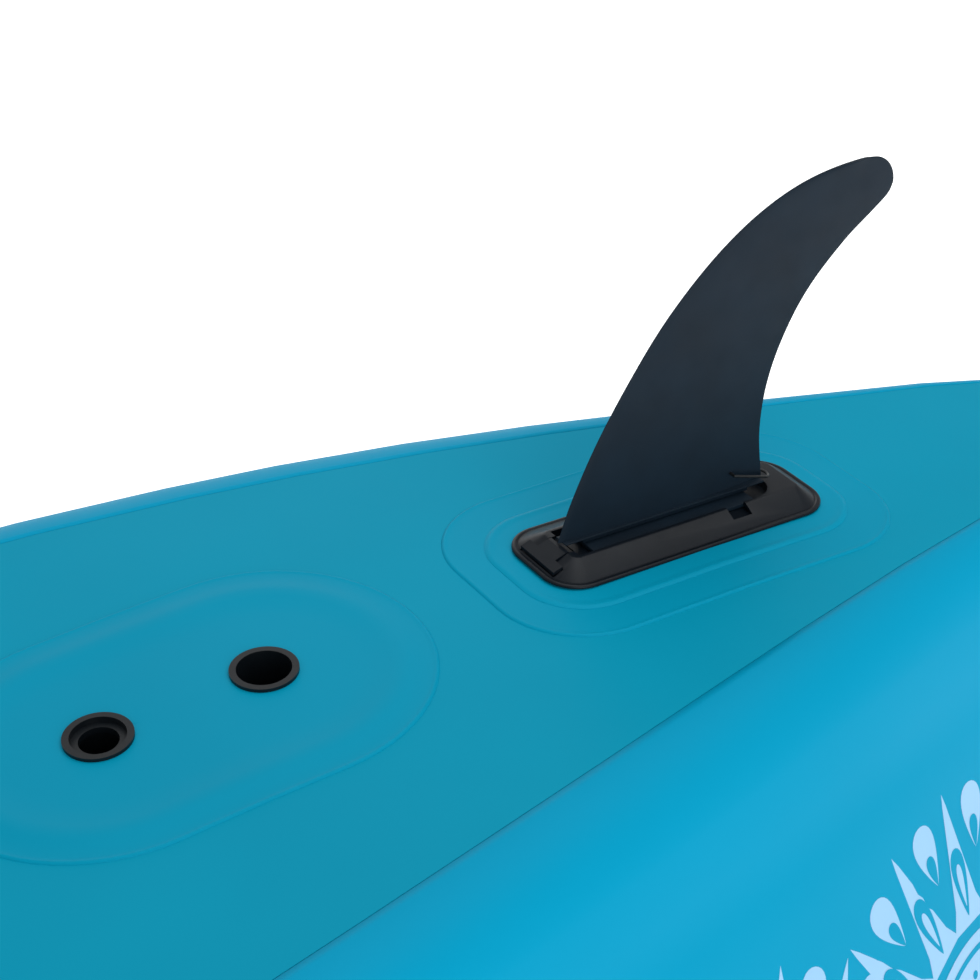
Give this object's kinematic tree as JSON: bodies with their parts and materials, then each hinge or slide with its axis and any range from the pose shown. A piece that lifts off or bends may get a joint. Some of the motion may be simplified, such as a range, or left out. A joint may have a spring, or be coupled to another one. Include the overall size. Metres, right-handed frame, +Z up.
{
  "type": "inflatable stand up paddleboard",
  "caption": "Hybrid inflatable stand up paddle craft, underside up: deep side walls, slide-in fin, self-bailing drains, valves, handles and rings.",
  "frame": {"origin": "middle of the footprint, on the floor the upturned craft lies on", "axes": "+X to the stern, +Y to port, +Z up out of the underside along the fin"},
  "size_m": [3.781, 0.9014, 0.6347],
  "materials": {
    "black_nylon": "black moulded plastic, light grain",
    "eva_pad": "grooved closed-cell foam",
    "fin_plastic": "dark slate grained plastic",
    "grip_foam": "soft neoprene sleeve",
    "patch_pvc": "coated fabric patch, glued flat",
    "steel_wire": "polished stainless wire",
    "teal_pvc": "soft satin coated fabric with a fine woven grain",
    "valve_grey": "grey moulded plastic",
    "wall_pvc": "soft satin coated fabric, printed in pale blue low on the sides",
    "webbing": "woven polyester webbing"
  },
  "bodies": {
    "hull": {"bottom_skin": "teal_pvc", "bow_cap": "black_nylon", "bow_handle_grip": "grip_foam", "bow_handle_strap": "webbing", "cockpit_side_port": "wall_pvc", "cockpit_side_starboard": "wall_pvc", "deck_pad_front": "eva_pad", "deck_pad_rear": "eva_pad", "deck_skin": "teal_pvc", "drain_patch": "patch_pvc", "fin_box": "black_nylon", "fin_pad": "patch_pvc", "fin_patch": "patch_pvc", "floor_edge_port": "teal_pvc", "floor_edge_starboard": "teal_pvc", "floor_valve_body": "valve_grey", "front_drain_collar": "black_nylon", "front_drain_seat": "black_nylon", "front_drain_tube": "black_nylon", "handle_patches": "patch_pvc", "hull_side_port": "wall_pvc", "hull_side_starboard": "wall_pvc", "rear_drain_collar": "black_nylon", "rear_drain_tube": "black_nylon", "ring_patches": "patch_pvc", "ring_webbing": "webbing", "side_handle_port_grip": "grip_foam", "side_handle_port_strap": "webbing", "side_handle_starboard_grip": "grip_foam", "side_handle_starboard_strap": "webbing", "side_valve_port_body": "valve_grey", "side_valve_starboard_body": "valve_grey", "stern_cap": "black_nylon", "stern_handle_grip": "grip_foam", "stern_handle_strap": "webbing"},
    "fin": {"fin": "fin_plastic"},
    "fin_latch": {"fin_latch": "black_nylon"},
    "fin_pull_loop": {"fin_pull_loop": "steel_wire"},
    "front_drain_plug": {"front_drain_plug": "black_nylon"},
    "rear_drain_plug": {"rear_drain_plug": "black_nylon"},
    "floor_valve_cap": {"floor_valve_cap": "black_nylon"},
    "floor_valve_plunger": {"floor_valve_plunger": "valve_grey"},
    "side_valve_port_cap": {"side_valve_port_cap": "black_nylon"},
    "side_valve_port_plunger": {"side_valve_port_plunger": "valve_grey"},
    "side_valve_starboard_cap": {"side_valve_starboard_cap": "black_nylon"},
    "side_valve_starboard_plunger": {"side_valve_starboard_plunger": "valve_grey"},
    "seat_ring_front_port": {"seat_ring_front_port": "steel_wire"},
    "seat_ring_front_starboard": {"seat_ring_front_starboard": "steel_wire"},
    "seat_ring_rear_port": {"seat_ring_rear_port": "steel_wire"},
    "seat_ring_rear_starboard": {"seat_ring_rear_starboard": "steel_wire"},
    "bow_ring": {"bow_ring": "steel_wire"},
    "leash_ring": {"leash_ring": "steel_wire"}
  },
  "joints": [
    {"name": "fin_slide", "type": "slide", "parent": "hull", "child": "fin", "axis": [-0.9944, 0, 0.1056], "range_m": [0, 0.011]},
    {"name": "latch_press", "type": "hinge", "parent": "hull", "child": "fin_latch", "pos_m": [1.1483, 0, 0.43511], "axis": [0, 1, 0], "range_deg": [-7, 0], "stiffness_Nm_per_rad": 0.05},
    {"name": "pull_loop_lift", "type": "hinge", "parent": "fin", "child": "fin_pull_loop", "pos_m": [1.28438, 0, 0.43816], "axis": [0, 1, 0], "range_deg": [-50, 0]},
    {"name": "front_drain_plug_pull", "type": "slide", "parent": "hull", "child": "front_drain_plug", "axis": [-0.012, 0, -0.9999], "range_m": [0, 0.022]},
    {"name": "rear_drain_plug_pull", "type": "slide", "parent": "hull", "child": "rear_drain_plug", "axis": [-0.0355, 0, -0.9994], "range_m": [0, 0.022]},
    {"name": "floor_valve_cap_turn", "type": "hinge", "parent": "hull", "child": "floor_valve_cap", "pos_m": [1.095, 0, 0.29815], "axis": [-0.0744, 0, -0.9972], "range_deg": [0, 90]},
    {"name": "floor_valve_press", "type": "slide", "parent": "hull", "child": "floor_valve_plunger", "axis": [0.0744, 0, 0.9972], "range_m": [0, 0.005], "stiffness_N_per_m": 400, "springref_m": -0.002},
    {"name": "side_valve_port_cap_turn", "type": "hinge", "parent": "hull", "child": "side_valve_port_cap", "pos_m": [0.615, 0.29331, 0.22764], "axis": [-0.1012, -0.8996, -0.4248], "range_deg": [0, 90]},
    {"name": "side_valve_port_press", "type": "slide", "parent": "hull", "child": "side_valve_port_plunger", "axis": [0.1012, 0.8996, 0.4248], "range_m": [0, 0.005], "stiffness_N_per_m": 400, "springref_m": -0.002},
    {"name": "side_valve_starboard_cap_turn", "type": "hinge", "parent": "hull", "child": "side_valve_starboard_cap", "pos_m": [0.615, -0.29331, 0.22764], "axis": [-0.1012, 0.8996, -0.4248], "range_deg": [0, 90]},
    {"name": "side_valve_starboard_press", "type": "slide", "parent": "hull", "child": "side_valve_starboard_plunger", "axis": [0.1012, -0.8996, 0.4248], "range_m": [0, 0.005], "stiffness_N_per_m": 400, "springref_m": -0.002},
    {"name": "seat_ring_front_port_swing", "type": "hinge", "parent": "hull", "child": "seat_ring_front_port", "pos_m": [-0.33482, 0.3047, 0.23887], "axis": [-0.9994, -0.0344, 0], "range_deg": [-12, 142]},
    {"name": "seat_ring_front_starboard_swing", "type": "hinge", "parent": "hull", "child": "seat_ring_front_starboard", "pos_m": [-0.33482, -0.3047, 0.23887], "axis": [-0.9994, 0.0344, 0], "range_deg": [-142, 12]},
    {"name": "seat_ring_rear_port_swing", "type": "hinge", "parent": "hull", "child": "seat_ring_rear_port", "pos_m": [0.34486, 0.30635, 0.23887], "axis": [-0.9996, 0.0277, 0], "range_deg": [-12, 142]},
    {"name": "seat_ring_rear_starboard_swing", "type": "hinge", "parent": "hull", "child": "seat_ring_rear_starboard", "pos_m": [0.34486, -0.30635, 0.23887], "axis": [-0.9996, -0.0277, 0], "range_deg": [-142, 12]},
    {"name": "bow_ring_swing", "type": "hinge", "parent": "hull", "child": "bow_ring", "pos_m": [-1.16457, 0, 0.27697], "axis": [0, -1, 0], "range_deg": [-72.6, 81.4]},
    {"name": "leash_ring_swing", "type": "hinge", "parent": "hull", "child": "leash_ring", "pos_m": [1.18947, 0, 0.28456], "axis": [0, -1, 0], "range_deg": [-82.4, 71.6]}
  ]
}
